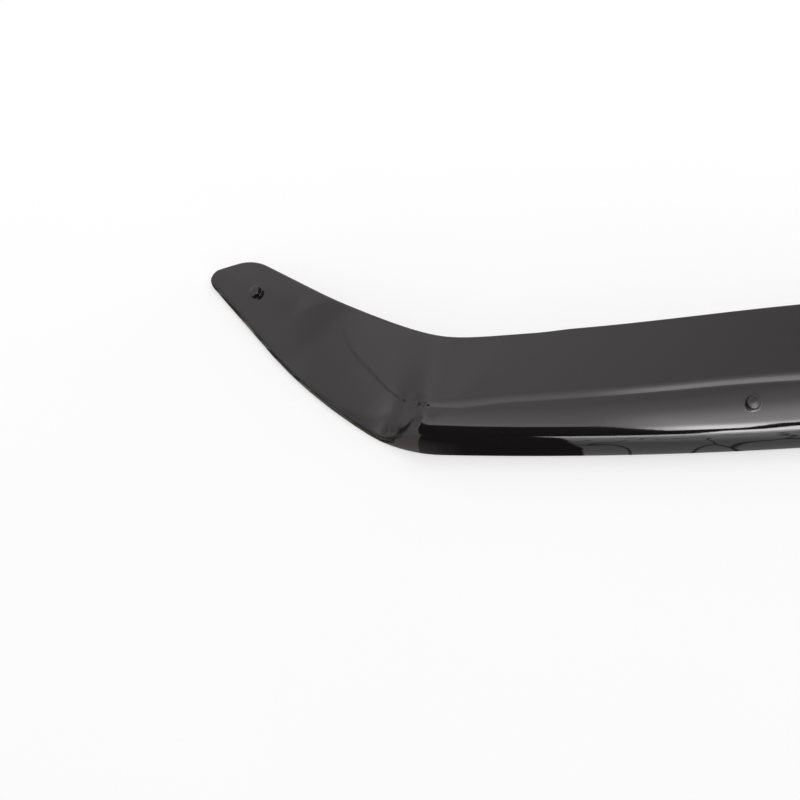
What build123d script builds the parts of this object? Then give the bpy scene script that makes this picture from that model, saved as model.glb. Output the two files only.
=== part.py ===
from build123d import *
import os
from math import ceil, cos, degrees, radians, sin, tan

# Hood bug deflector: one moulded shield that stands along the front edge of a vehicle's hood.
# Millimetres and degrees. X runs across the vehicle, the front faces -Y, and Z is up.
# The rim is the lower front edge. All of it lies in one level plane, on which the shield rests.
# A station is a distance along the rim, measured from the middle towards one tip.

# Plan of the rim: a shallow band across the front, a tight corner, a long curve and a straight wing.
WALL = 3.0
BAND_RADIUS = 2615.0
BAND_HALF_LENGTH = 561.0
CORNER_RADIUS = 102.0
CORNER_ANGLE = 41.4
WING_RADIUS = 540.0
WING_ANGLE = 16.1
WING_STRAIGHT = 119.0

# Section, walked up the outer face from the rim. A slope is an angle from level, leaning back.
BAND_RIM_SLOPE = 108.0
WING_RIM_SLOPE = 95.0
LIP_LENGTH_BAND = 34.0
LIP_LENGTH_WING = 7.0
BAND_LIP_END_SLOPE = 50.0
WING_LIP_END_SLOPE = 46.0
LIP_SHRINK_START = 11.0
LIP_SHRINK_LENGTH = 53.0
PANEL_SLOPE = 43.0
TOP_SLOPE = 41.0

# Joggle: a steeper roll just above the crease between the lower and the upper panel.
JOGGLE_LENGTH = 9.0
JOGGLE_ANGLE = 11.0
JOGGLE_FADE_START = 39.0
JOGGLE_FADE_LENGTH = 100.0

# Height of the crease up the face, and how fast it falls and rises again on its way to the wing.
CREASE_HEIGHT = 66.0
CREASE_FALL_SHARE = 0.06
CREASE_FALL_BEFORE_CORNER = 271.0
CREASE_FALL_BLEND = 80.0
CREASE_RISE_SHARE = 0.13
CREASE_RISE_AFTER_CORNER = 59.0
CREASE_RISE_BLEND = 40.0
CREASE_SWEEP_SHARE = 0.40
CREASE_SWEEP_AFTER_CORNER = 139.0
CREASE_SWEEP_BLEND = 20.0
CREASE_SETTLE_AFTER_CORNER = 169.0
CREASE_SETTLE_LENGTH = 70.0
CREASE_SETTLE_SHARE = 0.6

# Height of the whole face, from the rim to the top edge.
FACE_HEIGHT_MIDDLE = 135.0
FACE_HEIGHT_CORNER = 114.3
FACE_FALL_BEFORE_CORNER = 371.0
WING_TAPER = 0.25
WING_TAPER_AFTER_CORNER = 70.0
WING_TAPER_BLEND = 220.0

# How the fan of sections turns through the corner.
FAN_TURN_BEFORE_CORNER = 91.0
FAN_TURN_LENGTH = 260.0

# Blunt end of each wing: a cut that leans back, with a small lower and a large upper corner.
# The straight wing is measured to the point where the cut stands at this height.
TIP_CUT_HEIGHT = 29.0
TIP_CUT_LEAN = 42.5
TIP_LOWER_RADIUS = 12.0
TIP_UPPER_RADIUS = 70.0
TIP_OUTLINE_START = 40.0
TIP_OVERRUN = 0.4

# Fixing buttons: raised round heads on the face, each with a blind screw pocket behind.
BUTTON_RADIUS = 5.9
BUTTON_RISE = 5.0
BUTTON_DOME = 0.35
BUTTON_EDGE_BEVEL = 0.7
BUTTON_DRAFT = 0.4
BUTTON_FOOT_FLARE = 1.4
BUTTON_SINK = 1.5
POCKET_RADIUS = 2.1
POCKET_ROOF = 2.6
BAND_BUTTON_STATION = 286.6
BAND_BUTTON_HEIGHT = 48.4
WING_BUTTON_BEFORE_TIP = 56.2
WING_BUTTON_HEIGHT = 31.2

# Widest gaps between the sections that the wall is drawn through.
BAND_GAP = 50.0
NEAR_CORNER_LENGTH = 141.0
NEAR_CORNER_GAP = 18.0
CORNER_GAP = 9.5
CURVE_GAP = 17.0
WING_GAP = 40.0

# Rim curve of one side, as tangent arcs and a straight, in the plan view.
with BuildLine() as rim:
    band = JernArc((0, 0), (-1, 0), BAND_RADIUS, -degrees(BAND_HALF_LENGTH / BAND_RADIUS))
    corner = JernArc(band @ 1, band % 1, CORNER_RADIUS, -CORNER_ANGLE)
    sweep_back = JernArc(corner @ 1, corner % 1, WING_RADIUS, -WING_ANGLE)
    tip_run = WING_STRAIGHT + TIP_CUT_HEIGHT * tan(radians(TIP_CUT_LEAN))
    Line(sweep_back @ 1, sweep_back @ 1 + (sweep_back % 1) * tip_run)

rim_wire = rim.wire()
corner_station = BAND_HALF_LENGTH
straight_station = BAND_HALF_LENGTH + corner.length + sweep_back.length
end_station = rim_wire.length
wing_heading = degrees(BAND_HALF_LENGTH / BAND_RADIUS) + CORNER_ANGLE + WING_ANGLE


def mix(a, b, share):
    return a + (b - a) * share


def ease(station, start, length):
    """Goes smoothly from 0 to 1 along the rim."""
    t = min(max((station - start) / length, 0.0), 1.0)
    return t * t * (3 - 2 * t)


def ramp(station, middle, blend):
    """Distance past a station, with the start of the ramp blended in over a length."""
    t = min(max((station - middle + blend / 2) / blend, 0.0), 1.0)
    return blend * t * t / 2 + max(station - middle - blend / 2, 0.0)


def face_height(station):
    drop = ease(station, corner_station - FACE_FALL_BEFORE_CORNER, FACE_FALL_BEFORE_CORNER)
    taper = WING_TAPER * ramp(station, corner_station + WING_TAPER_AFTER_CORNER, WING_TAPER_BLEND)
    return mix(FACE_HEIGHT_MIDDLE, FACE_HEIGHT_CORNER, drop) - taper


def crease_height(station):
    """Falls towards the corner, climbs the wing, and settles in mid panel where the joggle is gone."""
    fall = ramp(station, corner_station - CREASE_FALL_BEFORE_CORNER, CREASE_FALL_BLEND)
    rise = ramp(station, corner_station + CREASE_RISE_AFTER_CORNER, CREASE_RISE_BLEND)
    sweep = ramp(station, corner_station + CREASE_SWEEP_AFTER_CORNER, CREASE_SWEEP_BLEND)
    line = CREASE_HEIGHT - CREASE_FALL_SHARE * fall
    line += (CREASE_FALL_SHARE + CREASE_RISE_SHARE) * rise
    line += (CREASE_SWEEP_SHARE - CREASE_RISE_SHARE) * sweep
    settled = ease(station, corner_station + CREASE_SETTLE_AFTER_CORNER, CREASE_SETTLE_LENGTH)
    return mix(line, CREASE_SETTLE_SHARE * face_height(station), settled)


def face_runs(station):
    """The outer face as runs of (length, slope at its start, slope at its end)."""
    shrink = ease(station, corner_station + LIP_SHRINK_START, LIP_SHRINK_LENGTH)
    fade = ease(station, corner_station + JOGGLE_FADE_START, JOGGLE_FADE_LENGTH)
    lip = mix(LIP_LENGTH_BAND, LIP_LENGTH_WING, shrink)
    lip_end_slope = mix(BAND_LIP_END_SLOPE, WING_LIP_END_SLOPE, shrink)
    crease = crease_height(station)
    return [
        (lip, mix(BAND_RIM_SLOPE, WING_RIM_SLOPE, shrink), lip_end_slope),
        (crease - lip, lip_end_slope, PANEL_SLOPE),
        (JOGGLE_LENGTH, PANEL_SLOPE + JOGGLE_ANGLE * (1 - fade), PANEL_SLOPE),
        (face_height(station) - WALL / 2 - crease - JOGGLE_LENGTH, PANEL_SLOPE, TOP_SLOPE),
    ]


def walk(start, length, slope_from, slope_to):
    """End of an arc of a given length whose slope changes evenly from one angle to another."""
    half_turn = radians(slope_to - slope_from) / 2
    chord = length * sin(half_turn) / half_turn if half_turn else length
    middle_slope = radians(slope_from + slope_to) / 2
    return start + Vector(cos(middle_slope), sin(middle_slope)) * chord


def inward(slope, depth):
    """Step from the outer face to a depth inside the wall."""
    return Vector(sin(radians(slope)), -cos(radians(slope))) * depth


def rim_start(station):
    """Start of the outer face above the level that the rounded rim rests on."""
    return Vector(0, WALL / 2 * (1 + cos(radians(face_runs(station)[0][1]))))


def face_point(station, height):
    """Point of the outer face at a height up it, in the section's plane, and the slope there."""
    point = rim_start(station)
    for length, slope_from, slope_to in face_runs(station):
        if height <= length:
            slope = mix(slope_from, slope_to, height / length)
            return walk(point, height, slope_from, slope), slope
        point = walk(point, length, slope_from, slope_to)
        height -= length
    return point, slope_to


def section_plane(station, side=-1):
    """Upright plane of a section: its x runs back from the rim and its y runs up."""
    turned = ease(station, corner_station - FAN_TURN_BEFORE_CORNER, FAN_TURN_LENGTH)
    fan = radians(mix(degrees(station / BAND_RADIUS), wing_heading, turned))
    foot = rim_wire.position_at(station, position_mode=PositionMode.LENGTH)
    back = Vector(-side * sin(fan), cos(fan))
    return Plane(origin=(-side * foot.X, foot.Y, 0), x_dir=back, z_dir=back.cross(Vector(0, 0, 1)))


def stretch(start, middle, end):
    """An arc through three points, or a line where they are in one line."""
    if abs((middle - start).cross(end - start).Z) < 1e-6:
        return Line(start, end)
    return ThreePointArc(start, middle, end)


def wall_section(station, side):
    """Closed outline of the wall: outer face, rounded top edge, inner face and rounded rim."""
    runs = face_runs(station)
    outer, inner = [], []
    point = rim_start(station)
    for length, slope_from, slope_to in runs:
        middle_slope = (slope_from + slope_to) / 2
        middle = walk(point, length / 2, slope_from, middle_slope)
        end = walk(point, length, slope_from, slope_to)
        outer.append((point, middle, end))
        places = ((point, slope_from), (middle, middle_slope), (end, slope_to))
        inner.append([place + inward(slope, WALL) for place, slope in places])
        point = end
    # The inner face meets itself on a mitre behind the crease.
    miter_slope = (runs[1][2] + runs[2][1]) / 2
    miter_depth = WALL / cos(radians(runs[2][1] - runs[1][2]) / 2)
    miter = outer[1][2] + inward(miter_slope, miter_depth)
    inner[1][2] = miter
    inner[2][0] = miter
    rim_slope, top_slope = runs[0][1], runs[-1][2]
    rim_nose = outer[0][0] + inward(rim_slope, WALL / 2) + inward(rim_slope - 90, WALL / 2)
    top_nose = outer[-1][2] + inward(top_slope, WALL / 2) + inward(top_slope + 90, WALL / 2)
    with BuildSketch(section_plane(station, side)) as section:
        with BuildLine():
            for start, middle, end in outer:
                stretch(start, middle, end)
            ThreePointArc(outer[-1][2], top_nose, inner[-1][2])
            for start, middle, end in reversed(inner):
                stretch(end, middle, start)
            ThreePointArc(inner[0][0], rim_nose, outer[0][0])
        make_face()
    return section.sketch


def evenly(start, end, widest_gap):
    """Stations from a start up to, but not at, an end."""
    count = ceil((end - start) / widest_gap)
    return [start + (end - start) * i / count for i in range(count)]


curve_station = corner_station + corner.length
stations = evenly(0, corner_station - NEAR_CORNER_LENGTH, BAND_GAP)
stations += evenly(corner_station - NEAR_CORNER_LENGTH, corner_station, NEAR_CORNER_GAP)
stations += evenly(corner_station, curve_station, CORNER_GAP)
stations += evenly(curve_station, straight_station, CURVE_GAP)
stations += evenly(straight_station, end_station, WING_GAP)
stations.append(end_station)


def meeting(point, direction, other_point, other_direction):
    """Where two lines of one plane cross."""
    across = direction.cross(other_direction).Z
    return point + direction * ((other_point - point).cross(other_direction).Z / across)


# Flat of the straight wing: x runs along the rim towards the tip and y runs up the face.
wing_start = section_plane(straight_station)
wing_slope = radians((PANEL_SLOPE + WING_LIP_END_SLOPE) / 2)
along = Vector(-cos(radians(wing_heading)), sin(radians(wing_heading)))
up_face = wing_start.x_dir * cos(wing_slope) + Vector(0, 0, sin(wing_slope))
wing_flat = Plane(
    origin=wing_start.from_local_coords(rim_start(straight_station)),
    x_dir=along,
    z_dir=along.cross(up_face),
)


def top_edge(station):
    """Crest of the rounded top edge, on the flat of the wing."""
    end, slope = face_point(station, face_height(station))
    crest = end + inward(slope, WALL / 2) + inward(slope + 90, WALL / 2)
    return wing_flat.to_local_coords(section_plane(station).from_local_coords(crest))


# Everything of a wing beyond this outline is cut away, square through the wall.
cut_foot = Vector(WING_STRAIGHT, TIP_CUT_HEIGHT)
cut_up = Vector(-sin(radians(TIP_CUT_LEAN)), cos(radians(TIP_CUT_LEAN)))
edge_near = top_edge(straight_station + TIP_OUTLINE_START)
edge_far = top_edge(straight_station + WING_STRAIGHT)
edge_near = Vector(edge_near.X, edge_near.Y + TIP_OVERRUN)
edge_far = Vector(edge_far.X, edge_far.Y + TIP_OVERRUN)
rim_near = Vector(TIP_OUTLINE_START, -TIP_OVERRUN)
lower_corner = meeting(cut_foot, cut_up, rim_near, Vector(1, 0))
upper_corner = meeting(cut_foot, cut_up, edge_near, edge_far - edge_near)
reach = FACE_HEIGHT_MIDDLE

with BuildPart() as tip_cutter:
    with BuildSketch(wing_flat):
        with BuildLine():
            FilletPolyline(
                rim_near,
                lower_corner,
                upper_corner,
                edge_near,
                radius=[TIP_LOWER_RADIUS, TIP_UPPER_RADIUS],
            )
            Polyline(
                edge_near,
                (edge_near.X, reach),
                (lower_corner.X + reach, reach),
                (lower_corner.X + reach, -reach),
                (TIP_OUTLINE_START, -reach),
                rim_near,
            )
        make_face()
    extrude(amount=reach / 2, both=True)
    mirror(about=Plane.YZ)


def button_plane(station, height):
    """Plane of a button's half profile: x runs out from its axis and y stands off the face."""
    section = section_plane(station)
    point, slope = face_point(station, height)
    off_face = inward(slope, -1)
    axis = section.x_dir * off_face.X + Vector(0, 0, off_face.Y)
    return Plane(
        origin=section.from_local_coords(point),
        x_dir=section.z_dir,
        z_dir=section.z_dir.cross(axis),
    )


button_planes = [
    button_plane(BAND_BUTTON_STATION, BAND_BUTTON_HEIGHT),
    button_plane(straight_station + WING_STRAIGHT - WING_BUTTON_BEFORE_TIP, WING_BUTTON_HEIGHT),
]

with BuildPart() as buttons:
    for plane in button_planes:
        side_radius = BUTTON_RADIUS + BUTTON_DRAFT
        foot_radius = side_radius + BUTTON_FOOT_FLARE
        crown = (0, BUTTON_RISE + BUTTON_DOME)
        shoulder = (BUTTON_RADIUS - BUTTON_EDGE_BEVEL, BUTTON_RISE)
        with BuildSketch(plane):
            with BuildLine():
                Polyline(
                    crown,
                    (0, -BUTTON_SINK),
                    (foot_radius, -BUTTON_SINK),
                    (foot_radius, 0),
                    (side_radius, BUTTON_FOOT_FLARE),
                    (BUTTON_RADIUS, BUTTON_RISE - BUTTON_EDGE_BEVEL),
                    shoulder,
                )
                TangentArc(crown, shoulder, tangent=(1, 0))
            make_face()
        revolve(axis=Axis(plane.origin, plane.y_dir))
    mirror(about=Plane.YZ)

with BuildPart() as pockets:
    for plane in button_planes:
        depth = WALL + BUTTON_RISE - POCKET_ROOF
        mouth = plane.origin - plane.y_dir * (WALL + BUTTON_SINK)
        with BuildSketch(Plane(origin=mouth, z_dir=plane.y_dir)):
            Circle(POCKET_RADIUS)
        extrude(amount=depth + BUTTON_SINK)
    mirror(about=Plane.YZ)

# The wall runs straight from each section to the next, from the left tip to the right tip.
left_sections = [wall_section(station, -1) for station in reversed(stations)]
right_sections = [wall_section(station, 1) for station in stations[1:]]
with BuildPart() as shield:
    loft(left_sections + right_sections, ruled=True)
    add(tip_cutter.part, mode=Mode.SUBTRACT)
    add(buttons.part)
    add(pockets.part, mode=Mode.SUBTRACT)

# The origin is the middle of the shield's outline, on the level that the rim rests on.
box = shield.part.bounding_box()
deflector = Pos(0, -(box.min.Y + box.max.Y) / 2, -box.min.Z) * shield.part
deflector.label = "deflector_shield"
os.makedirs("parts", exist_ok=True)
export_step(deflector, "parts/deflector_shield.step")
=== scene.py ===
"""Blender scene of the hood bug deflector: a gloss black shield on a pale floor, in the CAD's frame."""

from functools import reduce
from math import cos, degrees, pi, radians, sin, tan

import bmesh
import bpy
import numpy as np
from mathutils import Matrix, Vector


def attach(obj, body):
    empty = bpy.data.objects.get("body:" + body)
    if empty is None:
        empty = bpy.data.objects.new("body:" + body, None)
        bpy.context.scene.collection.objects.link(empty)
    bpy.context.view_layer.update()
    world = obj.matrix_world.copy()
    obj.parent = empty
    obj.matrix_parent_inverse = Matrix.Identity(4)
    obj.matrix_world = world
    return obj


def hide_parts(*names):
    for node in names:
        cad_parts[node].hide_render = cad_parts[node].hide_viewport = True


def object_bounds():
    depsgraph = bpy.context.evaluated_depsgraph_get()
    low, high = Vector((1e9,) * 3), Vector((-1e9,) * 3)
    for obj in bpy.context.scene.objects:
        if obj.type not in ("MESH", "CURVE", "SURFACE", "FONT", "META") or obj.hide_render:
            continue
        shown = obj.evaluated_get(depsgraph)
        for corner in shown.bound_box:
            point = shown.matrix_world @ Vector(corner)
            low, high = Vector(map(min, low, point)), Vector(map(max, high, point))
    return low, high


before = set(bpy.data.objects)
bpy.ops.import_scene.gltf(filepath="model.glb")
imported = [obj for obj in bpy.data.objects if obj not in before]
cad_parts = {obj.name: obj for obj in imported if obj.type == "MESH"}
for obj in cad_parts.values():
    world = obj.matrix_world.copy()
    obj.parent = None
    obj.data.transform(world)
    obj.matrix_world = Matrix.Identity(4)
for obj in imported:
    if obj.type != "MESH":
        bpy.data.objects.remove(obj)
cad_low, cad_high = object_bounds()

# Sizes of the shield as its solid has them, in metres, degrees and shares. A station is a distance along
# the rim from the middle, and a height is a distance up the face from the rim.
WALL = 0.003
BAND_RADIUS = 2.615
BAND_HALF_LENGTH = 0.561
CORNER_RADIUS = 0.102
CORNER_TURN = 41.4
WING_RADIUS = 0.540
WING_TURN = 16.1
WING_STRAIGHT = 0.119
RIM_SLOPE_BAND = 108.0
RIM_SLOPE_WING = 95.0
LIP_LENGTH_BAND = 0.034
LIP_LENGTH_WING = 0.007
LIP_END_SLOPE_BAND = 50.0
LIP_END_SLOPE_WING = 46.0
LIP_SHRINK_START = 0.011
LIP_SHRINK_LENGTH = 0.053
PANEL_SLOPE = 43.0
TOP_SLOPE = 41.0
JOGGLE_LENGTH_BAND = 0.009
JOGGLE_ANGLE = 11.0
CREASE_HEIGHT = 0.066
CREASE_FALL_SHARE = 0.06
CREASE_FALL_BEFORE_CORNER = 0.271
CREASE_FALL_BLEND = 0.080
CREASE_RISE_SHARE = 0.13
CREASE_RISE_AFTER_CORNER = 0.059
CREASE_RISE_BLEND = 0.040
CREASE_SWEEP_SHARE = 0.40
CREASE_SWEEP_AFTER_CORNER = 0.139
CREASE_SWEEP_BLEND = 0.020
CREASE_SETTLE_AFTER_CORNER = 0.169
CREASE_SETTLE_LENGTH = 0.070
CREASE_SETTLE_SHARE = 0.6
FACE_HEIGHT_MIDDLE = 0.135
FACE_HEIGHT_CORNER = 0.1143
FACE_FALL_BEFORE_CORNER = 0.371
WING_TAPER = 0.25
WING_TAPER_AFTER_CORNER = 0.070
WING_TAPER_BLEND = 0.220
FAN_TURN_BEFORE_CORNER = 0.091
FAN_TURN_LENGTH = 0.260
TIP_CUT_LEAN = 42.5
TIP_LOWER_RADIUS = 0.012
TIP_UPPER_RADIUS = 0.070
BUTTON_RADIUS = 0.0059
BUTTON_RISE = 0.005
BUTTON_DOME = 0.00035
BUTTON_DRAFT = 0.0004
POCKET_RADIUS = 0.0021
POCKET_ROOF = 0.0026
BAND_BUTTON_STATION = 0.2866
BAND_BUTTON_HEIGHT = 0.0484
WING_BUTTON_BEFORE_TIP = 0.0562
WING_BUTTON_HEIGHT = 0.0312

# Small forms that only this scene has: the joggle's fade along the wing, a dip in the top edge and a
# finer line of the crease through the corner, the wing's cut, and the buttons' rounded feet and edges.
# The starts and ends are counted from the corner along the rim.
JOGGLE_LENGTH_WING = 0.0032
JOGGLE_SHORTEN_START, JOGGLE_SHORTEN_LENGTH = -0.020, 0.070
JOGGLE_FADE_START, JOGGLE_FADE_LENGTH = 0.128, 0.048
TOP_DIP = 0.0020
TOP_DIP_START, TOP_DIP_GROWTH = -0.120, 0.050
TOP_DIP_END, TOP_DIP_FADE = 0.100, 0.060
CREASE_SINK, CREASE_SINK_START, CREASE_SINK_LENGTH = 0.0050, -0.061, 0.090
CREASE_LIFT, CREASE_LIFT_START, CREASE_LIFT_LENGTH = 0.0020, 0.070, 0.050
CREASE_CREST = 0.0032
CREASE_CREST_START, CREASE_CREST_GROWTH = -0.014, 0.020
CREASE_CREST_END, CREASE_CREST_FADE = 0.026, 0.016
TIP_CUT_HEIGHT = 0.0276
BUTTON_EDGE_ROUND = 0.0009
BAND_BUTTON_FILLET = 0.0016
WING_BUTTON_FILLET = 0.0004
POCKET_MOUTH_BEVEL = 0.0003

CORNER_STATION = BAND_HALF_LENGTH
CURVE_STATION = CORNER_STATION + CORNER_RADIUS * radians(CORNER_TURN)
STRAIGHT_STATION = CURVE_STATION + WING_RADIUS * radians(WING_TURN)
TIP_STATION = STRAIGHT_STATION + WING_STRAIGHT
BAND_TURN = degrees(BAND_HALF_LENGTH / BAND_RADIUS)
WING_HEADING = BAND_TURN + CORNER_TURN + WING_TURN


def mix(a, b, share):
    return a + (b - a) * share


def ease(s, start, length):
    """Smoothly from 0 to 1 along the rim."""
    t = np.clip((s - start) / length, 0.0, 1.0)
    return t * t * (3 - 2 * t)


def swell(s, start, growth, end, fade):
    """Smoothly from 0 to 1 and back to 0 along the rim."""
    return ease(s, start, growth) * (1 - ease(s, end, fade))


def ramp(s, middle, blend):
    """Distance past a station, with the start blended in."""
    t = np.clip((s - middle + blend / 2) / blend, 0.0, 1.0)
    return blend * t * t / 2 + np.maximum(s - middle - blend / 2, 0.0)


def face_height(s):
    """Height of the top edge."""
    drop = ease(s, CORNER_STATION - FACE_FALL_BEFORE_CORNER, FACE_FALL_BEFORE_CORNER)
    taper = WING_TAPER * ramp(s, CORNER_STATION + WING_TAPER_AFTER_CORNER, WING_TAPER_BLEND)
    dip = TOP_DIP * swell(
        s, CORNER_STATION + TOP_DIP_START, TOP_DIP_GROWTH, CORNER_STATION + TOP_DIP_END, TOP_DIP_FADE
    )
    return mix(FACE_HEIGHT_MIDDLE, FACE_HEIGHT_CORNER, drop) - taper - dip


def flat_height(s):
    """Height at which the face ends and the half-round top edge begins."""
    return face_height(s) - WALL / 2


def crease_height(s):
    """Falls towards the corner, climbs the wing, and settles in mid panel where the joggle is gone."""
    fall = ramp(s, CORNER_STATION - CREASE_FALL_BEFORE_CORNER, CREASE_FALL_BLEND)
    rise = ramp(s, CORNER_STATION + CREASE_RISE_AFTER_CORNER, CREASE_RISE_BLEND)
    sweep = ramp(s, CORNER_STATION + CREASE_SWEEP_AFTER_CORNER, CREASE_SWEEP_BLEND)
    line = CREASE_HEIGHT - CREASE_FALL_SHARE * fall
    line = line + (CREASE_FALL_SHARE + CREASE_RISE_SHARE) * rise
    line = line + (CREASE_SWEEP_SHARE - CREASE_RISE_SHARE) * sweep
    line = line - CREASE_SINK * ease(s, CORNER_STATION + CREASE_SINK_START, CREASE_SINK_LENGTH)
    line = line + CREASE_LIFT * ease(s, CORNER_STATION + CREASE_LIFT_START, CREASE_LIFT_LENGTH)
    line = line + CREASE_CREST * swell(
        s,
        CORNER_STATION + CREASE_CREST_START,
        CREASE_CREST_GROWTH,
        CORNER_STATION + CREASE_CREST_END,
        CREASE_CREST_FADE,
    )
    settled = ease(s, CORNER_STATION + CREASE_SETTLE_AFTER_CORNER, CREASE_SETTLE_LENGTH)
    return mix(line, CREASE_SETTLE_SHARE * face_height(s), settled)


def lip_shrink(s):
    return ease(s, CORNER_STATION + LIP_SHRINK_START, LIP_SHRINK_LENGTH)


def lip_length(s):
    return mix(LIP_LENGTH_BAND, LIP_LENGTH_WING, lip_shrink(s))


def joggle_length(s):
    shorter = ease(s, CORNER_STATION + JOGGLE_SHORTEN_START, JOGGLE_SHORTEN_LENGTH)
    return mix(JOGGLE_LENGTH_BAND, JOGGLE_LENGTH_WING, shorter)


def face_runs(s):
    """The outer face from rim to top edge as runs of (length, slope at start, slope at end)."""
    shrink = lip_shrink(s)
    fade = ease(s, CORNER_STATION + JOGGLE_FADE_START, JOGGLE_FADE_LENGTH)
    lip, crease, joggle = lip_length(s), crease_height(s), joggle_length(s)
    lip_end = mix(LIP_END_SLOPE_BAND, LIP_END_SLOPE_WING, shrink)
    return [
        (lip, mix(RIM_SLOPE_BAND, RIM_SLOPE_WING, shrink), lip_end),
        (crease - lip, lip_end, PANEL_SLOPE),
        (joggle, PANEL_SLOPE + JOGGLE_ANGLE * (1 - fade), PANEL_SLOPE),
        (flat_height(s) - crease - joggle, PANEL_SLOPE, TOP_SLOPE),
    ]


def rim_plan(s):
    """Place (x, y) of the rim's left half at distances from the middle: three arcs and a straight."""
    x, y = np.zeros_like(s), np.zeros_like(s)
    x0 = y0 = turn0 = 0.0
    for start, radius, bend in (
        (0.0, BAND_RADIUS, BAND_TURN),
        (CORNER_STATION, CORNER_RADIUS, CORNER_TURN),
        (CURVE_STATION, WING_RADIUS, WING_TURN),
    ):
        turn = turn0 + (s - start) / radius
        x = np.where(s > start, x0 - radius * (np.sin(turn) - sin(turn0)), x)
        y = np.where(s > start, y0 + radius * (cos(turn0) - np.cos(turn)), y)
        end = turn0 + radians(bend)
        x0, y0 = x0 - radius * (sin(end) - sin(turn0)), y0 + radius * (cos(turn0) - cos(end))
        turn0 = end
    past = s - STRAIGHT_STATION
    x = np.where(past > 0, x0 - past * cos(turn0), x)
    y = np.where(past > 0, y0 + past * sin(turn0), y)
    return x, y


def surface(s, w, depth=0.0):
    """Points of the wall at stations s (negative on the left) and heights w, a depth inside the face."""
    s, w = np.broadcast_arrays(np.asarray(s, float), np.asarray(w, float))
    side = np.where(s < 0, 1.0, -1.0)
    a = np.abs(s)
    runs = face_runs(a)
    slope = runs[0][1]
    up = WALL / 2 * (1 + np.cos(np.radians(slope)))
    back, used = np.zeros_like(a), np.zeros_like(a)
    for length, slope_from, slope_to in runs:
        part = np.clip(w - used, 0.0, length)
        at = slope_from + (slope_to - slope_from) * part / length
        chord = part * np.sinc(np.radians(at - slope_from) / 2 / pi)
        middle = np.radians(at + slope_from) / 2
        back = back + chord * np.cos(middle)
        up = up + chord * np.sin(middle)
        slope = np.where(w > used + 1e-9, at, slope)
        used = used + length
    # Past either end of the face the wall goes straight on.
    slope = np.radians(slope)
    over = np.maximum(w - used, 0.0) + np.minimum(w, 0.0)
    back = back + over * np.cos(slope) + depth * np.sin(slope)
    up = up + over * np.sin(slope) - depth * np.cos(slope)
    turned = ease(a, CORNER_STATION - FAN_TURN_BEFORE_CORNER, FAN_TURN_LENGTH)
    fan = np.radians(mix(np.degrees(a / BAND_RADIUS), WING_HEADING, turned))
    x, y = rim_plan(a)
    return np.stack([(x + back * np.sin(fan)) * side, y + back * np.cos(fan), up], -1)


ARC_POINTS = 60


def meeting(point, way, other, other_way):
    """Where two lines of one plane cross."""
    across = way[0] * other_way[1] - way[1] * other_way[0]
    gap = other - point
    return point + way * ((gap[0] * other_way[1] - gap[1] * other_way[0]) / across)


def rounded(before, corner, after, radius):
    """Points of the arc that rounds a corner, from one tangent point to the other."""
    a = (before - corner) / np.linalg.norm(before - corner)
    b = (after - corner) / np.linalg.norm(after - corner)
    half = np.arccos(np.clip(a @ b, -1, 1)) / 2
    middle = corner + (a + b) / np.linalg.norm(a + b) * radius / sin(half)
    first = corner + a * radius / tan(half) - middle
    last = corner + b * radius / tan(half) - middle
    turn = np.arccos(np.clip(first @ last / radius**2, -1, 1))
    share = np.linspace(0, 1, ARC_POINTS)[:, None]
    return middle + (np.sin((1 - share) * turn) * first + np.sin(share * turn) * last) / sin(turn)


# Outline of the wing's end on the flat of the wing, as (station, height), drawn half a wall inside the
# real edge, because a half-round edge goes round it.
cut_lean = radians(TIP_CUT_LEAN)
cut_point = np.array([TIP_STATION, TIP_CUT_HEIGHT]) - np.array([cos(cut_lean), sin(cut_lean)]) * WALL / 2
cut_way = np.array([-sin(cut_lean), cos(cut_lean)])
low_near = np.array([STRAIGHT_STATION, 0.0])
top_near = np.array([STRAIGHT_STATION, flat_height(STRAIGHT_STATION)])
top_far = np.array([TIP_STATION, flat_height(TIP_STATION)])
low_corner = meeting(cut_point, cut_way, low_near, np.array([1.0, 0.0]))
high_corner = meeting(cut_point, cut_way, top_near, top_far - top_near)
low_arc = rounded(low_near, low_corner, high_corner, TIP_LOWER_RADIUS - WALL / 2)
high_arc = rounded(low_corner, high_corner, top_near, TIP_UPPER_RADIUS - WALL / 2)
outline = np.concatenate([[low_near], low_arc, high_arc, [top_near]])
outline_length = np.concatenate([[0], np.cumsum(np.linalg.norm(np.diff(outline, axis=0), axis=1))])


def along_outline(distance):
    return np.stack([np.interp(distance, outline_length, outline[:, k]) for k in (0, 1)], -1)


# Columns of the mesh: one for each station as far as the straight wing, closer together where the plan
# bends and round the buttons. On the straight wing they fan out between the rim and the cut, and end at
# the nose, half-way round the lower arc.
NEAR_BUTTON = 0.0115
COLUMN_GAPS = (
    (0.0, 0.0065),
    (BAND_BUTTON_STATION - NEAR_BUTTON, 0.0015),
    (BAND_BUTTON_STATION + NEAR_BUTTON, 0.0060),
    (CORNER_STATION - 0.10, 0.0035),
    (CORNER_STATION, 0.0018),
    (CURVE_STATION + 0.02, 0.0032),
    (STRAIGHT_STATION, None),
)
TIP_COLUMNS = 74
NOSE_HALF = 0.003
NOSE_BEND_COLUMNS = 10
columns = []
for (start, gap), (end, _) in zip(COLUMN_GAPS, COLUMN_GAPS[1:]):
    columns.append(np.linspace(start, end, max(1, round((end - start) / gap)) + 1)[:-1])
columns = np.concatenate(columns)
nose = mix(outline_length[1], outline_length[ARC_POINTS], 0.5)
low_run = along_outline(np.linspace(0, nose - NOSE_HALF, TIP_COLUMNS))
high_run = along_outline(np.linspace(outline_length[-1], nose + NOSE_HALF, TIP_COLUMNS))
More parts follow.
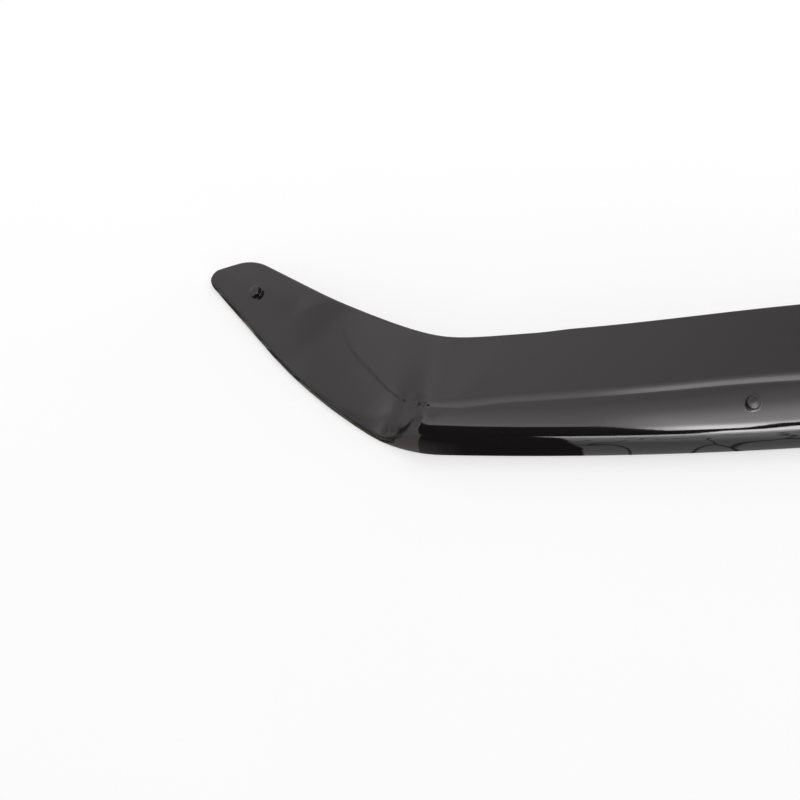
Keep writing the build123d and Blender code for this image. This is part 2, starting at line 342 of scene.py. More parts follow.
low_ends = np.concatenate([np.stack([columns, 0 * columns], -1), low_run])
high_ends = np.concatenate([np.stack([columns, flat_height(columns)], -1), high_run])

# Rows up each column, with a narrow row across the crease that softens it.
ROWS_LIP, ROWS_LOWER, ROWS_JOGGLE, ROWS_UPPER = 18, 19, 7, 17
CREASE_SOFTEN = 0.0005


def row_heights(s):
    """Heights of all rows at some stations."""
    lip, joggle = lip_length(s), joggle_length(s)
    below = crease_height(s) - CREASE_SOFTEN
    above = crease_height(s) + CREASE_SOFTEN
    upper = flat_height(s) - above - joggle
    return np.concatenate(
        [
            np.outer(lip, np.linspace(0, 1, ROWS_LIP + 1)[:-1]),
            lip[:, None] + np.outer(below - lip, np.linspace(0, 1, ROWS_LOWER + 1)),
            above[:, None] + np.outer(joggle, np.linspace(0, 1, ROWS_JOGGLE + 1)[:-1]),
            (above + joggle)[:, None] + np.outer(upper, np.linspace(0, 1, ROWS_UPPER + 1)),
        ],
        axis=1,
    )


stations = np.minimum(low_ends[:, 0], STRAIGHT_STATION)
shares = row_heights(stations) / flat_height(stations)[:, None]
half = low_ends[:, None, :] + (high_ends - low_ends)[:, None, :] * shares[:, :, None]
# The last columns bend with the round nose.
nose_bend = along_outline(mix(nose - NOSE_HALF, nose + NOSE_HALF, shares[-1])) - half[-1]
for back in range(NOSE_BEND_COLUMNS):
    half[-1 - back] += nose_bend * (1 - back / NOSE_BEND_COLUMNS) ** 2
grid_s = np.concatenate([-half[:0:-1, :, 0], half[:, :, 0]])
grid_w = np.concatenate([half[:0:-1, :, 1], half[:, :, 1]])
grid_s[len(half) - 1] = 0.0
count_s, count_w = grid_s.shape

# Through the corner the rows above the crease are evened out along the rim, the more the nearer they
# are to the top edge, so that the upper face turns the corner in one broad bend.
EVEN_START, EVEN_END, EVEN_FADE = 0.440, 0.770, 0.080
EVEN_MARGIN, EVEN_GAP = 0.09, 0.0015
EVEN_SPREAD, EVEN_AT_CREASE, EVEN_GROWTH = 0.034, 0.22, 0.7
CREASE_ROW = ROWS_LIP + ROWS_LOWER
JOGGLE_ROW = CREASE_ROW + 1 + ROWS_JOGGLE
even_s = np.arange(EVEN_START - EVEN_MARGIN, EVEN_END + EVEN_MARGIN, EVEN_GAP)
even_from = surface(even_s[:, None], row_heights(even_s))
even_at = swell(even_s, EVEN_START, EVEN_FADE, EVEN_END - EVEN_FADE, EVEN_FADE)
even_move = np.zeros_like(even_from)
for row in range(ROWS_LIP, count_w):
    if row <= CREASE_ROW:
        spread = EVEN_AT_CREASE * (row - ROWS_LIP) / ROWS_LOWER
    elif row <= JOGGLE_ROW:
        spread = EVEN_AT_CREASE
    else:
        share = (row - JOGGLE_ROW) / (count_w - 1 - JOGGLE_ROW)
        spread = mix(EVEN_AT_CREASE, 1.0, share**EVEN_GROWTH)
    width = np.maximum(EVEN_SPREAD * spread * even_at, 1e-4)[:, None]
    weight = np.exp(-((even_s[None, :] - even_s[:, None]) ** 2) / (2 * width**2))
    weight = weight / weight.sum(1, keepdims=True)
    even_move[:, row] = weight @ even_from[:, row] - even_from[:, row]


def grid_points(depth):
    """The grid at a depth inside the face, with its rows evened out through both corners."""
    places = surface(grid_s, grid_w, depth)
    for row in range(count_w):
        for axis in range(3):
            move = np.interp(np.abs(grid_s[:, row]), even_s, even_move[:, row, axis], 0.0, 0.0)
            places[:, row, axis] += move * (np.sign(grid_s[:, row]) if axis == 0 else 1.0)
    return places


class Skin:
    """Collects points and faces of one closed mesh."""

    def __init__(self):
        self.points = []
        self.faces = []
        self.count = 0

    def add(self, places):
        places = np.asarray(places, float).reshape(-1, 3)
        first = self.count
        self.points.append(places)
        self.count += len(places)
        return np.arange(first, self.count)

    def tube(self, rings, centre=None):
        """Bands of quads between rings of one count, closed over the last ring if it has a centre."""
        for ring_a, ring_b in zip(rings, rings[1:]):
            corners = [ring_a, np.roll(ring_a, -1), np.roll(ring_b, -1), ring_b]
            self.faces += np.stack(corners, -1).tolist()
        if centre is not None:
            middle = int(self.add(centre)[0])
            ring = rings[-1]
            self.faces += [[int(a), int(b), middle] for a, b in zip(ring, np.roll(ring, -1))]


def border(a0, a1, b0, b1):
    """Grid places once round the border of a block of the grid."""
    loop = [(a, b0) for a in range(a0, a1)] + [(a1, b) for b in range(b0, b1)]
    loop += [(a, b1) for a in range(a1, a0, -1)] + [(a0, b) for b in range(b1, b0, -1)]
    return tuple(np.array(loop).T)


skin = Skin()
outer = skin.add(grid_points(0.0)).reshape(count_s, count_w)
inner = skin.add(grid_points(WALL)).reshape(count_s, count_w)
kept = np.ones((count_s - 1, count_w - 1), bool)

# Rings of a button, as shares of a way and as turns round an edge.
FACE_SHARES = (0.4, 0.75, 1.0)
FILLET_TURNS = (12, 25, 38, 51, 64, 77, 90)
SIDE_SHARES = (0.5, 1.0)
EDGE_TURNS = (15, 30, 45, 60, 75, 90)
CROWN_SHARES = (0.8, 0.6, 0.4, 0.2)
MOUTH_SHARES = (0.25, 0.5, 0.75, 0.9, 1.0)
POCKET_RINGS = 5


def button(s0, w0, fillet):
    """A raised round head that grows out of the face, with a blind screw pocket behind it."""
    at_s, at_w = np.nonzero((np.abs(grid_s - s0) < NEAR_BUTTON) & (np.abs(grid_w - w0) < NEAR_BUTTON))
    a0, a1, b0, b1 = at_s.min(), at_s.max(), at_w.min(), at_w.max()
    kept[a0:a1, b0:b1] = False
    loop = border(a0, a1, b0, b1)
    step = 1e-4
    centre = surface(s0, w0)
    run_s = (surface(s0 + step, w0) - surface(s0 - step, w0)) / (2 * step)
    run_w = (surface(s0, w0 + step) - surface(s0, w0 - step)) / (2 * step)
    scale = np.linalg.norm(run_s)
    e1 = run_s / scale
    off = (centre - surface(s0, w0, WALL)) / WALL
    off = off - e1 * (off @ e1)
    off = off / np.linalg.norm(off)
    e2 = np.cross(off, e1)
    e2 = e2 * np.sign(e2 @ run_w)
    flat = np.stack([(grid_s[loop] - s0) * scale, grid_w[loop] - w0], -1)
    way = flat / np.linalg.norm(flat, axis=1, keepdims=True)

    def on_face(radius, share, depth):
        at = mix(flat, way * radius, share)
        return skin.add(surface(s0 + at[:, 0] / scale, w0 + at[:, 1], depth))

    def off_face(radius, height):
        return skin.add(centre + off * height + radius * (way[:, :1] * e1 + way[:, 1:] * e2))

    side = BUTTON_RADIUS + BUTTON_DRAFT
    foot = side + fillet
    shoulder = BUTTON_RISE - BUTTON_EDGE_ROUND
    crown = BUTTON_RADIUS - BUTTON_EDGE_ROUND

    rings = [outer[loop]] + [on_face(foot, share, 0.0) for share in FACE_SHARES]
    for turn in np.radians(FILLET_TURNS):
        rings.append(off_face(foot - fillet * sin(turn), fillet * (1 - cos(turn))))
    for share in SIDE_SHARES:
        rings.append(off_face(mix(side, BUTTON_RADIUS, share), mix(fillet, shoulder, share)))
    for turn in np.radians(EDGE_TURNS):
        rounding = BUTTON_EDGE_ROUND * cos(turn), BUTTON_EDGE_ROUND * sin(turn)
        rings.append(off_face(crown + rounding[0], shoulder + rounding[1]))
    for share in CROWN_SHARES:
        rings.append(off_face(crown * share, BUTTON_RISE + BUTTON_DOME * (1 - share**2)))
    skin.tube(rings, centre + off * (BUTTON_RISE + BUTTON_DOME))

    mouth = POCKET_RADIUS + POCKET_MOUTH_BEVEL
    roof = BUTTON_RISE - POCKET_ROOF
    rings = [inner[loop]] + [on_face(mouth, share, WALL) for share in MOUTH_SHARES]
    for height in np.linspace(POCKET_MOUTH_BEVEL - WALL, roof, POCKET_RINGS):
        rings.append(off_face(POCKET_RADIUS, height))
    rings.append(off_face(POCKET_RADIUS * 0.5, roof))
    skin.tube(rings, centre + off * roof)


for side in (-1, 1):
    button(side * BAND_BUTTON_STATION, BAND_BUTTON_HEIGHT, BAND_BUTTON_FILLET)
    button(side * (TIP_STATION - WING_BUTTON_BEFORE_TIP), WING_BUTTON_HEIGHT, WING_BUTTON_FILLET)

for grid in (outer, inner):
    quads = np.stack([grid[:-1, :-1], grid[1:, :-1], grid[1:, 1:], grid[:-1, 1:]], -1)
    skin.faces += quads[kept].tolist()

# Half-round edge all the way round: along the rim, up one end, back along the top and down the other.
EDGE_STEPS = 8
loop = border(0, count_s - 1, 0, count_w - 1)
every = np.concatenate(skin.points)
edge_out, edge_in = every[outer[loop]], every[inner[loop]]
middle, reach = (edge_out + edge_in) / 2, (edge_out - edge_in) / 2
ahead = np.roll(middle, -1, 0) - middle
ahead = ahead / np.linalg.norm(ahead, axis=1, keepdims=True)
away = np.cross(ahead + np.roll(ahead, 1, 0), reach)
away = away / np.linalg.norm(away, axis=1, keepdims=True)
mid_column = (count_s - 1) // 2
if away[mid_column] @ (every[outer[mid_column, 0]] - every[outer[mid_column, 1]]) < 0:
    away = -away
away = away * np.linalg.norm(reach, axis=1, keepdims=True)
rings = [outer[loop]]
for turn in np.linspace(0, pi, EDGE_STEPS + 1)[1:-1]:
    rings.append(skin.add(middle + reach * cos(turn) + away * sin(turn)))
skin.tube(rings + [inner[loop]])

# One closed mesh of the points that faces use, set on the CAD's lowest height and foremost line.
SHARP_ANGLE = 48.0
places = np.concatenate(skin.points)
used = np.zeros(len(places), bool)
for face in skin.faces:
    used[face] = True
number = np.cumsum(used) - 1
places = places[used]
places[:, 1] += cad_low.y - places[:, 1].min()
places[:, 2] += cad_low.z - places[:, 2].min()
mesh = bpy.data.meshes.new("shield_body")
mesh.from_pydata(places.tolist(), [], [[int(number[k]) for k in face] for face in skin.faces])
build = bmesh.new()
build.from_mesh(mesh)
bmesh.ops.recalc_face_normals(build, faces=build.faces)
if build.calc_volume(signed=True) < 0:
    bmesh.ops.reverse_faces(build, faces=build.faces)
build.to_mesh(mesh)
build.free()
mesh.shade_smooth()
mesh.set_sharp_from_angle(angle=radians(SHARP_ANGLE))
shield = bpy.data.objects.new("shield_body", mesh)
bpy.context.scene.collection.objects.link(shield)


def grey(level):
    return (level, level, level, 1)


class Nodes:
    """Short calls for a node tree."""

    def __init__(self, owner):
        owner.use_nodes = True
        self.tree = owner.node_tree
        self.tree.nodes.clear()

    def node(self, kind, inputs=None, **settings):
        made = self.tree.nodes.new(kind)
        for name, value in settings.items():
            setattr(made, name, value)
        for name, value in (inputs or {}).items():
            self.put(made.inputs[name], value)
        return made

    def put(self, socket, value):
        if isinstance(value, bpy.types.NodeSocket):
            self.tree.links.new(value, socket)
        else:
            socket.default_value = value

    def math(self, operation, *values):
        made = self.node("ShaderNodeMath", operation=operation)
        for socket, value in zip(made.inputs, values):
            self.put(socket, value)
        return made.outputs[0]

    def plus(self, *values):
        return reduce(lambda a, b: self.math("ADD", a, b), values)

    def minus(self, a, b):
        return self.math("SUBTRACT", a, b)

    def times(self, *values):
        return reduce(lambda a, b: self.math("MULTIPLY", a, b), values)

    def fit(self, value, low, high, to_low, to_high):
        """A value carried from one range to another and held at its ends."""
        made = self.node(
            "ShaderNodeMapRange",
            {"Value": value, "From Min": low, "From Max": high, "To Min": to_low, "To Max": to_high},
        )
        return made.outputs[0]

    def band(self, value, start, full, fade, end):
        """A mask that is 1 from full to fade, and 0 before the start and past the end."""
        return self.times(self.fit(value, start, full, 0.0, 1.0), self.fit(value, fade, end, 1.0, 0.0))

    def dimmed(self, level, mask, share):
        """A level that falls to a share of itself where the mask is 1."""
        return self.times(level, self.fit(mask, 0.0, 1.0, 1.0, share))

    def curve(self, value, stops, start, end, low, high):
        """A level between low and high that follows a value between start and end through stops."""
        made = self.node("ShaderNodeValToRGB", {"Fac": self.fit(value, start, end, 0.0, 1.0)})
        places = [(at - start) / (end - start) for at, _ in stops]
        marks = made.color_ramp.elements
        marks[0].position, marks[1].position = places[0], places[-1]
        for place in places[1:-1]:
            marks.new(place)
        for mark, (_, level) in zip(marks, stops):
            mark.color = grey((level - low) / (high - low))
        return self.plus(self.times(made.outputs[0], high - low), low)

    def noise(self, where, scale, detail=4.0, roughness=0.5):
        made = self.node(
            "ShaderNodeTexNoise",
            {"Vector": where, "Scale": scale, "Detail": detail, "Roughness": roughness},
        )
        return made.outputs[0]

    def blend(self, share, a, b):
        """Colour a where the share is 0, colour b where it is 1."""
        made = self.node("ShaderNodeMix", data_type="RGBA")
        for socket, value in zip((made.inputs[0], made.inputs[6], made.inputs[7]), (share, a, b)):
            self.put(socket, value)
        return made.outputs[2]

    def bearing(self, x, y):
        """Direction in degrees seen from above: 0 straight to the front, 90 to the right."""
        return self.times(self.math("ARCTAN2", x, self.times(y, -1.0)), 180 / pi)


# Moulded near-black acrylic: glossy, with a faint orange peel, hairline wiping marks and a thin dust
# film that gathers on what looks up.
CLEAN_TONE, DUSTY_TONE = (0.0085, 0.0065, 0.0075, 1), (0.0135, 0.0110, 0.0115, 1)
SPECK_TONE = (0.20, 0.20, 0.19, 1)
DUST_SHARE, SPECK_SHARE = 0.55, 0.05
POLISHED, CLOUDED, WIPED_ROUGHER, FINE_ROUGHER = 0.030, 0.060, 0.03, 0.02
CLOUD_SCALE, FINE_SCALE, SPECK_SCALE = 9.0, 260.0, 620.0
HAIR_SCALE, HAIR_STRETCH = 3.0, (18.0, 420.0, 420.0)
PEEL_SCALE, PEEL_STRENGTH, PEEL_DEPTH = 150.0, 0.02, 0.0005
ACRYLIC_IOR = 1.49
material = bpy.data.materials.new("moulded_black_acrylic")
n = Nodes(material)
where = n.node("ShaderNodeTexCoord").outputs["Object"]
cloud = n.noise(where, CLOUD_SCALE, 5.0, 0.55)
fine = n.noise(where, FINE_SCALE, 3.0, 0.6)
hair_where = n.node("ShaderNodeMapping", {"Vector": where, "Scale": HAIR_STRETCH}).outputs[0]
wiped = n.fit(n.noise(hair_where, HAIR_SCALE, 6.0, 0.7), 0.60, 0.72, 0.0, 1.0)
facing = n.node("ShaderNodeSeparateXYZ", {"Vector": n.node("ShaderNodeNewGeometry").outputs["Normal"]})
looks_up = n.fit(facing.outputs["Z"], 0.2, 0.9, 0.0, 1.0)
specks = n.node("ShaderNodeTexVoronoi", {"Vector": where, "Scale": SPECK_SCALE})
speck = n.fit(specks.outputs["Distance"], 0.10, 0.04, 0.0, 1.0)
dust = n.times(n.fit(cloud, 0.35, 0.75, 0.15, 1.0), looks_up)
tone = n.blend(n.times(dust, DUST_SHARE), CLEAN_TONE, DUSTY_TONE)
tone = n.blend(n.times(speck, dust, SPECK_SHARE), tone, SPECK_TONE)
rough = n.plus(
    n.fit(cloud, 0.3, 0.7, POLISHED, CLOUDED),
    n.times(wiped, WIPED_ROUGHER),
    n.times(n.fit(fine, 0.4, 0.7, 0.0, 1.0), FINE_ROUGHER),
)
peel = n.node(
    "ShaderNodeBump",
    {"Strength": PEEL_STRENGTH, "Distance": PEEL_DEPTH, "Height": n.noise(where, PEEL_SCALE, 2.0, 0.4)},
)
acrylic = n.node(
    "ShaderNodeBsdfPrincipled",
    {"Base Color": tone, "Roughness": rough, "Normal": peel.outputs[0], "IOR": ACRYLIC_IOR},
)
n.node("ShaderNodeOutputMaterial", {"Surface": acrylic.outputs[0]})
mesh.materials.append(material)
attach(shield, "root")
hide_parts("deflector_shield")


def sheet(name, left, right, front, back, height, shader):
    """A flat stage piece with a material."""
    corners = ((left, front), (right, front), (right, back), (left, back))
    data = bpy.data.meshes.new(name)
    data.from_pydata([(x, y, height) for x, y in corners], [], [list(range(len(corners)))])
    data.materials.append(shader)
    made = bpy.data.objects.new(name, data)
    bpy.context.scene.collection.objects.link(made)
    return made


# Pale floor: part of its brightness is its own, so that the shadow on it stays light.
FLOOR_GLOW, FLOOR_TONE = 0.50, 0.56
FLOOR_REACH, FLOOR_GRAIN = 9.0, 3.0
pale = bpy.data.materials.new("pale_floor")
n = Nodes(pale)
path = n.node("ShaderNodeLightPath")
seen = n.math("MAXIMUM", path.outputs["Is Camera Ray"], path.outputs["Is Glossy Ray"])
seen = n.math("MAXIMUM", seen, path.outputs["Is Transmission Ray"])
grain = n.noise(n.node("ShaderNodeTexCoord").outputs["Object"], FLOOR_GRAIN, 2.0)
paper = n.node(
    "ShaderNodeBsdfDiffuse", {"Color": grey(FLOOR_TONE), "Roughness": n.fit(grain, 0.0, 1.0, 0.4, 0.6)}
)
glow = n.node("ShaderNodeEmission", {"Color": grey(1.0), "Strength": n.times(seen, FLOOR_GLOW)})
both = n.node("ShaderNodeAddShader")
n.put(both.inputs[0], paper.outputs[0])
n.put(both.inputs[1], glow.outputs[0])
n.node("ShaderNodeOutputMaterial", {"Surface": both.outputs[0]})
sheet("floor", -FLOOR_REACH, FLOOR_REACH, -FLOOR_REACH, FLOOR_REACH, 0.0, pale)

# Glowing card painted with what the shield mirrors from the ground, a painted reflection: black cloth in
# front of the rim on the left, a lit and creased sheet on the right, and mottled ground beside the wing.
# Only the gloss sees this card.
CARD_LEFT, CARD_RIGHT, CARD_FRONT, CARD_BACK, CARD_HEIGHT = -4.0, 2.5, -8.9, 0.6, 0.0005
RIM_FRONT = -0.18
CLOTH_END, CLOTH_SPREAD, CLOTH_NEAR_SPREAD = -0.450, 0.12, 0.45
CLOTH_WOBBLE, WOBBLE_SCALE, CLOTH_SOFTNESS = 0.018, 40.0, 0.0015
CLOTH_LEVEL, EDGE_SOFTNESS = 0.05, 0.0004
FOLD_SCALE, FOLD_WARP = 14.0, 0.10
SHEET_LEVELS = (
    (0.0, 0.95), (0.010, 1.1), (0.024, 1.6), (0.052, 2.3), (0.14, 3.4), (0.32, 7.0), (1.0, 11.0),
)
SHEET_BRIGHTEST = SHEET_LEVELS[-1][1]
EDGE_POINT, EDGE_HEADING = (-0.6005, -0.1345), radians(-47)
PATCH_DARK, PATCH_WARM, PATCH_COOL = (0.16, 0.18, 0.10, 1), (1.0, 0.80, 0.62, 1), (0.78, 0.86, 0.98, 1)
PATCH_SCALE, TINT_SCALE = 34.0, 21.0
CORNER_TONE = (1.10, 0.97, 0.88, 1)
# Points on the ground that bearings are taken from, and ranges of a bearing in degrees.
CORNER_POINT, LIP_POINT = (-0.585, -0.105), (-0.605, -0.1035)
CORNER_STARTS, WEDGE_STARTS = (-72.5, -70.5), (-106.0, -102.0)
WEDGE_DARKENS, WEDGE_LEVELS = (-90.0, -74.0), (0.70, 0.20)
TURNED_BACK, TURNED_RIGHT = (-160.0, -157.0), (100.0, 104.0)
INSIDE_LEVEL, BEHIND_LEVEL = 0.05, 0.07
WING_ROOT, WING_SPREAD = (0.585, -0.105), 0.51
card_paint = bpy.data.materials.new("painted_reflection_card")
n = Nodes(card_paint)
where = n.node("ShaderNodeTexCoord").outputs["Object"]
spot = n.node("ShaderNodeSeparateXYZ", {"Vector": where})
ground_x, ground_y = spot.outputs["X"], spot.outputs["Y"]


def bearing_from(point):
    return n.bearing(n.minus(ground_x, point[0]), n.minus(ground_y, point[1]))


# In this painted reflection the cloth ends on a slanting, slightly wavy line; past it the sheet is
# brighter the farther it lies from the rim, and dark along its folds.
ahead_of_rim = n.minus(RIM_FRONT, ground_y)
past_cloth = n.plus(
    n.minus(ground_x, CLOTH_END),
    n.times(n.math("MAXIMUM", ahead_of_rim, 0.0), CLOTH_SPREAD),
    n.times(n.math("MINIMUM", ahead_of_rim, 0.0), CLOTH_NEAR_SPREAD),
)
wobble = n.times(n.minus(n.noise(where, WOBBLE_SCALE, 3.0), 0.5), CLOTH_WOBBLE)
lit = n.fit(n.plus(past_cloth, wobble), -CLOTH_SOFTNESS, CLOTH_SOFTNESS, 0.0, 1.0)
warp = n.node("ShaderNodeTexNoise", {"Vector": where, "Scale": FOLD_SCALE, "Detail": 1.0})
fold_where = n.node("ShaderNodeMix", data_type="VECTOR")
for index, value in ((0, FOLD_WARP), (4, where), (5, warp.outputs["Color"])):
    n.put(fold_where.inputs[index], value)
folds = n.node(
    "ShaderNodeTexVoronoi",
    {"Vector": fold_where.outputs[1], "Scale": FOLD_SCALE},
    feature="DISTANCE_TO_EDGE",
)
creased = n.fit(folds.outputs["Distance"], 0.012, 0.04, 0.15, 1.0)
bright = n.curve(ahead_of_rim, SHEET_LEVELS, 0.0, 1.0, 0.0, SHEET_BRIGHTEST)
# Painted glint: a bright strip on the card next to the rim by the corner, mirrored as a highlight on the
# lip.
painted_glint_by_edge = n.times(n.fit(ground_y, -0.16, -0.115, 0.0, 0.3), n.fit(ground_x, -0.572, -0.54, 1.0, 0.0))
sheet_light = n.plus(n.times(bright, creased, lit), CLOTH_LEVEL, painted_glint_by_edge)

# In the painted reflection the cloth's left side shows as an upright edge at the corner, beside a
# painted warm patch, and a dark wedge lies left of that.
bearing = bearing_from(CORNER_POINT)
edge_side = n.minus(
    n.times(n.minus(ground_y, EDGE_POINT[1]), sin(EDGE_HEADING)),
    n.times(n.minus(ground_x, EDGE_POINT[0]), -cos(EDGE_HEADING)),
)
in_front = n.times(
    n.fit(edge_side, -EDGE_SOFTNESS, EDGE_SOFTNESS, 0.0, 1.0), n.fit(bearing, *TURNED_RIGHT, 1.0, 0.0)
)
lip_bearing = bearing_from(LIP_POINT)
by_corner = n.fit(lip_bearing, *CORNER_STARTS, 0.0, 1.0)
by_wedge = n.fit(lip_bearing, *WEDGE_STARTS, 0.0, 1.0)
wedge = n.fit(lip_bearing, *WEDGE_DARKENS, *WEDGE_LEVELS)
inside = n.math(
    "MAXIMUM", n.fit(bearing, *TURNED_BACK, 1.0, 0.0), n.fit(bearing, *TURNED_RIGHT, 0.0, 1.0)
)
patch = n.fit(n.noise(where, PATCH_SCALE, 4.0, 0.65), 0.42, 0.56, 0.0, 1.0)
tint = n.fit(n.noise(where, TINT_SCALE, 2.0), 0.44, 0.58, 0.0, 1.0)
mottled = n.blend(patch, PATCH_DARK, n.blend(tint, PATCH_WARM, PATCH_COOL))
ground = n.blend(by_wedge, mottled, wedge)
ground = n.blend(by_corner, ground, CORNER_TONE)
ground = n.blend(inside, ground, grey(INSIDE_LEVEL))
ground = n.blend(in_front, ground, sheet_light)

# Behind the rim and between the wings the card is plain and dark, painted shade for the gloss to mirror.
rim_y = n.plus(n.math("DIVIDE", n.times(ground_x, ground_x), 2 * BAND_RADIUS), RIM_FRONT)
past_root = n.math("MAXIMUM", n.minus(ground_y, WING_ROOT[1]), 0.0)
wing_x = n.plus(n.times(past_root, WING_SPREAD), WING_ROOT[0])
behind = n.times(
    n.fit(n.minus(ground_y, rim_y), 0.003, 0.006, 0.0, 1.0),
    n.fit(n.minus(n.math("ABSOLUTE", ground_x), wing_x), -0.012, -0.004, 1.0, 0.0),
)
ground = n.blend(behind, ground, grey(BEHIND_LEVEL))
light = n.node("ShaderNodeEmission", {"Color": ground, "Strength": 1.0})
n.node("ShaderNodeOutputMaterial", {"Surface": light.outputs[0]})
mirrored = sheet(
    "painted_reflection_card", CARD_LEFT, CARD_RIGHT, CARD_FRONT, CARD_BACK, CARD_HEIGHT, card_paint
)
for kind in ("camera", "shadow", "diffuse", "transmission"):
    setattr(mirrored, "visible_" + kind, False)

# Studio round the shield. The camera sees plain white and matt surfaces a level light. The gloss sees
# soft light overhead, brighter low in front, a window low on the right and a dark wall on the left.
# Levels follow the rise of a direction, in degrees over the horizon, and masks follow its turn as well.
FRONT_LEVELS = (
    (0, 1.2), (20, 1.9), (31, 2.5), (37, 2.2), (42, 1.90),
    (46, 1.60), (50, 1.38), (54, 1.40), (59, 1.52), (90, 1.4),
)
BESIDE_LEVELS = (
    (0, 0.95), (12, 1.0), (18, 1.2), (21, 1.2), (25, 1.1),
    (30, 1.22), (34, 1.38), (38, 1.50), (50, 1.50), (90, 1.4),
)
SKY_HIGHEST = 4.0
WINDOW_LEVELS = (
    (0, 14.0), (19, 14.0), (22, 10.5), (25, 6.5), (28, 3.6),
    (32, 2.6), (39, 2.1), (41.5, 0.9), (44, 0.2), (50, 0.0),
)
WINDOW_HIGHEST = WINDOW_LEVELS[0][1]
# Rise of the dark line under what the lip mirrors left of the corner, by turn.
LINE_RISES = ((-110, 19.0), (-107, 19.0), (-102, 18.8), (-93, 16.0), (-80, 6.5), (-70, -5.0))
LINE_LOWEST, LINE_HIGHEST = -5.0, 25.0
# Masks, as the start, the full range and the end of a rise or a turn.
CATCH_RISES, CATCH_TURNS = (22.0, 27.0, 36.0, 42.0), (-96.0, -89.0, -75.0, -62.0)
PAST_WING_TURNS = (-123.0, -121.5, -115.0, -112.0)
LIP_SIDE_TURNS, LINE_TURNS = (-111.0, -109.0, -88.0, -82.0), (-106.8, -105.8, -72.0, -70.0)
WINDOW_TURNS = (-0.5, 5.0, 21.0, 26.0)
LINE_HALF_WIDTHS, FRONTAL_TURNS, ABOVE_LIP_RISES = (0.8, 1.8), (48.0, 86.0), (40.0, 50.0)
FOLD_TURN, FOLD_SLOPE, FOLD_RISE = -109.0, 0.82, 20.0
DARK_WALL_TURN, DARK_WALL_RISE, DARK_WALL_FALL = -1.0, 30.5, 5.0
DARK_WALL_LEAN, DARK_WALL_LEFT, DARK_WALL_RIGHT = 1.05, (-51.5, -50.0), (66.0, 80.0)
DARK_WALL_SOFTNESS = 0.6
CREASE_CATCH = 0.6
PAST_WING_SHARE, LIP_SIDE_SHARE, LINE_SHARE = 0.85, 0.70, 0.15
DARK_WALL_SHARE, TO_RIGHT_SHARE = 0.03, 0.74
SKY_TONE = (1.0, 0.965, 0.975, 1)
MATT_LEVEL, CAMERA_LEVEL = 0.80, 1.0
world = bpy.data.worlds.new("studio")
bpy.context.scene.world = world
n = Nodes(world)
path = n.node("ShaderNodeLightPath")
way = n.node("ShaderNodeSeparateXYZ", {"Vector": n.node("ShaderNodeTexCoord").outputs["Generated"]})
rise = n.times(n.math("ARCSINE", way.outputs["Z"]), 180 / pi)
turn = n.bearing(way.outputs["X"], way.outputs["Y"])

front = n.curve(rise, FRONT_LEVELS, 0.0, 90.0, 0.0, SKY_HIGHEST)
beside = n.curve(rise, BESIDE_LEVELS, 0.0, 90.0, 0.0, SKY_HIGHEST)
# Brighter beside the corner, where the foot of its upper panel mirrors it.
catch = n.times(n.band(rise, *CATCH_RISES), n.band(turn, *CATCH_TURNS))
beside = n.plus(beside, n.times(catch, CREASE_CATCH))
# Dimmer beyond the wing, and on what the lip mirrors left of the corner, with a dark line under that.
beside = n.dimmed(beside, n.band(turn, *PAST_WING_TURNS), PAST_WING_SHARE)
over_line = n.minus(rise, n.curve(turn, LINE_RISES, -110.0, -70.0, LINE_LOWEST, LINE_HIGHEST))
fold_top = n.plus(n.times(n.minus(turn, FOLD_TURN), FOLD_SLOPE), FOLD_RISE)
lip_side = n.times(
    n.fit(n.minus(rise, fold_top), -1.5, 0.5, 1.0, 0.0),
    n.fit(n.minus(over_line, n.fit(turn, -103.0, -100.0, 0.0, 9.0)), 0.0, 1.0, 0.0, 1.0),
    n.band(turn, *LIP_SIDE_TURNS),
)
beside = n.dimmed(beside, lip_side, LIP_SIDE_SHARE)
on_line = n.fit(n.math("ABSOLUTE", over_line), *LINE_HALF_WIDTHS, 1.0, 0.0)
beside = n.dimmed(beside, n.times(on_line, n.band(turn, *LINE_TURNS)), LINE_SHARE)
# In front the light above the lip's reach is dimmer towards the right.
to_right = n.fit(turn, -10.0, 24.0, 0.0, TO_RIGHT_SHARE - 1.0)
above_lip = n.fit(rise, *ABOVE_LIP_RISES, 0.0, 1.0)
front = n.times(front, n.plus(n.times(to_right, above_lip), 1.0))
frontal = n.fit(n.math("ABSOLUTE", turn), *FRONTAL_TURNS, 1.0, 0.0)
gloss = n.plus(beside, n.times(n.minus(front, beside), frontal))
window = n.curve(rise, WINDOW_LEVELS, 0.0, 90.0, 0.0, WINDOW_HIGHEST)
window = n.times(window, n.band(turn, *WINDOW_TURNS))
# The wall's top falls past the middle and steps up again, and its foot lifts off the ground there.
falling = n.times(n.math("MAXIMUM", n.minus(turn, DARK_WALL_TURN), 0.0), DARK_WALL_FALL)
wall_top = n.math("MAXIMUM", n.minus(DARK_WALL_RISE, falling), n.fit(turn, 7.5, 10.5, 12.5, 21.0))
wall_foot = n.plus(n.fit(turn, 3.0, 6.0, -3.0, 5.5), n.fit(turn, 8.5, 10.5, 0.0, 4.0))
wall_left = n.plus(turn, n.times(n.math("MAXIMUM", rise, 0.0), DARK_WALL_LEAN))
on_wall = n.times(
    n.fit(n.minus(rise, wall_top), -DARK_WALL_SOFTNESS, DARK_WALL_SOFTNESS, 1.0, 0.0),
    n.fit(n.minus(rise, wall_foot), -DARK_WALL_SOFTNESS, DARK_WALL_SOFTNESS, 0.0, 1.0),
    n.fit(wall_left, *DARK_WALL_LEFT, 0.0, 1.0),
    n.fit(turn, *DARK_WALL_RIGHT, 1.0, 0.0),
)
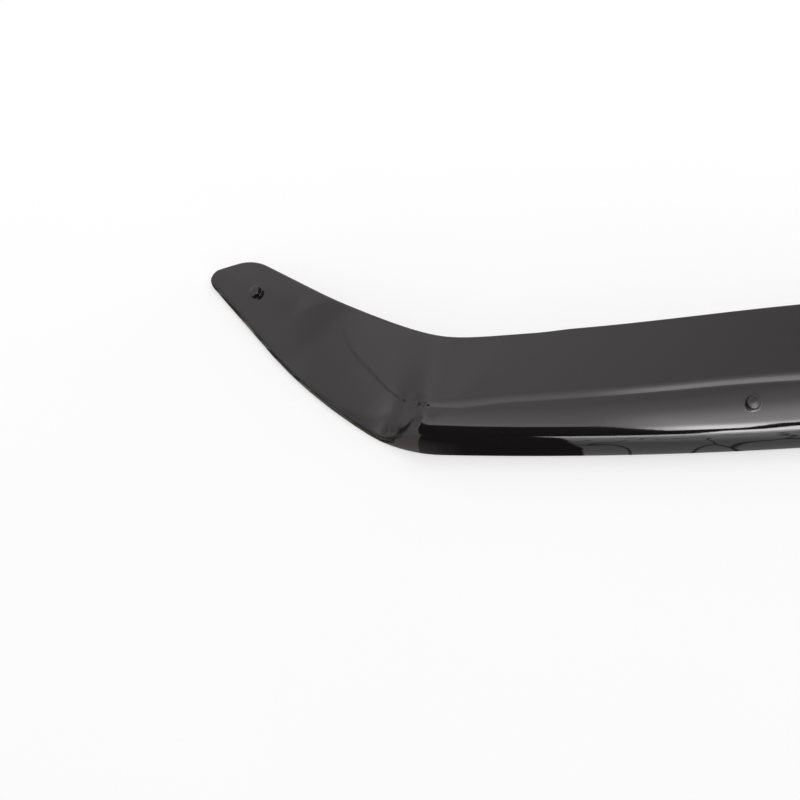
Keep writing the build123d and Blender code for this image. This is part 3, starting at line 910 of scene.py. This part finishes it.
gloss = n.plus(n.dimmed(gloss, on_wall, DARK_WALL_SHARE), n.dimmed(window, on_wall, 0.0))

mirrored_sky = n.node("ShaderNodeBackground", {"Color": SKY_TONE, "Strength": gloss})
matt_sky = n.node("ShaderNodeBackground", {"Color": grey(1.0), "Strength": MATT_LEVEL})
plain_sky = n.node("ShaderNodeBackground", {"Color": grey(1.0), "Strength": CAMERA_LEVEL})
sky = matt_sky
for ray, shown in (("Is Camera Ray", plain_sky), ("Is Glossy Ray", mirrored_sky)):
    pick = n.node("ShaderNodeMixShader", {"Fac": path.outputs[ray]})
    n.put(pick.inputs[1], sky.outputs[0])
    n.put(pick.inputs[2], shown.outputs[0])
    sky = pick
n.node("ShaderNodeOutputWorld", {"Surface": sky.outputs[0]})


def placed(name, data, place, aim):
    """An object that looks from its place at an aim."""
    made = bpy.data.objects.new(name, data)
    bpy.context.scene.collection.objects.link(made)
    made.location = place
    made.rotation_euler = (Vector(aim) - made.location).to_track_quat("-Z", "Y").to_euler()
    return made


# One broad soft lamp behind and above, so that the shadow falls a little to the front.
LAMP_SIZE, LAMP_POWER = 2.2, 26.0
LAMP_PLACE, LAMP_AIM = (0.3, 1.9, 2.5), (-0.3, -0.1, 0.0)
lamp = bpy.data.lights.new("soft_lamp", "AREA")
lamp.shape = "DISK"
lamp.size = LAMP_SIZE
lamp.energy = LAMP_POWER
soft_lamp = placed("soft_lamp", lamp, LAMP_PLACE, LAMP_AIM)
soft_lamp.visible_glossy = False
soft_lamp.visible_camera = False

# The photograph's camera, as its perspective of the rim, the crease and the buttons gives it.
LENS, SENSOR_WIDTH, NEAREST, FARTHEST = 83.25, 36.0, 0.05, 60.0
CAMERA_PLACE, CAMERA_AIM = (-0.8185, -1.3195, 1.0940), (-0.5803, -0.0368, 0.0011)
view = bpy.data.cameras.new("camera")
view.lens = LENS
view.sensor_width = SENSOR_WIDTH
view.clip_start = NEAREST
view.clip_end = FARTHEST
camera = placed("camera", view, CAMERA_PLACE, CAMERA_AIM)
bpy.context.scene.camera = camera

bpy.context.scene.view_settings.view_transform = "Standard"
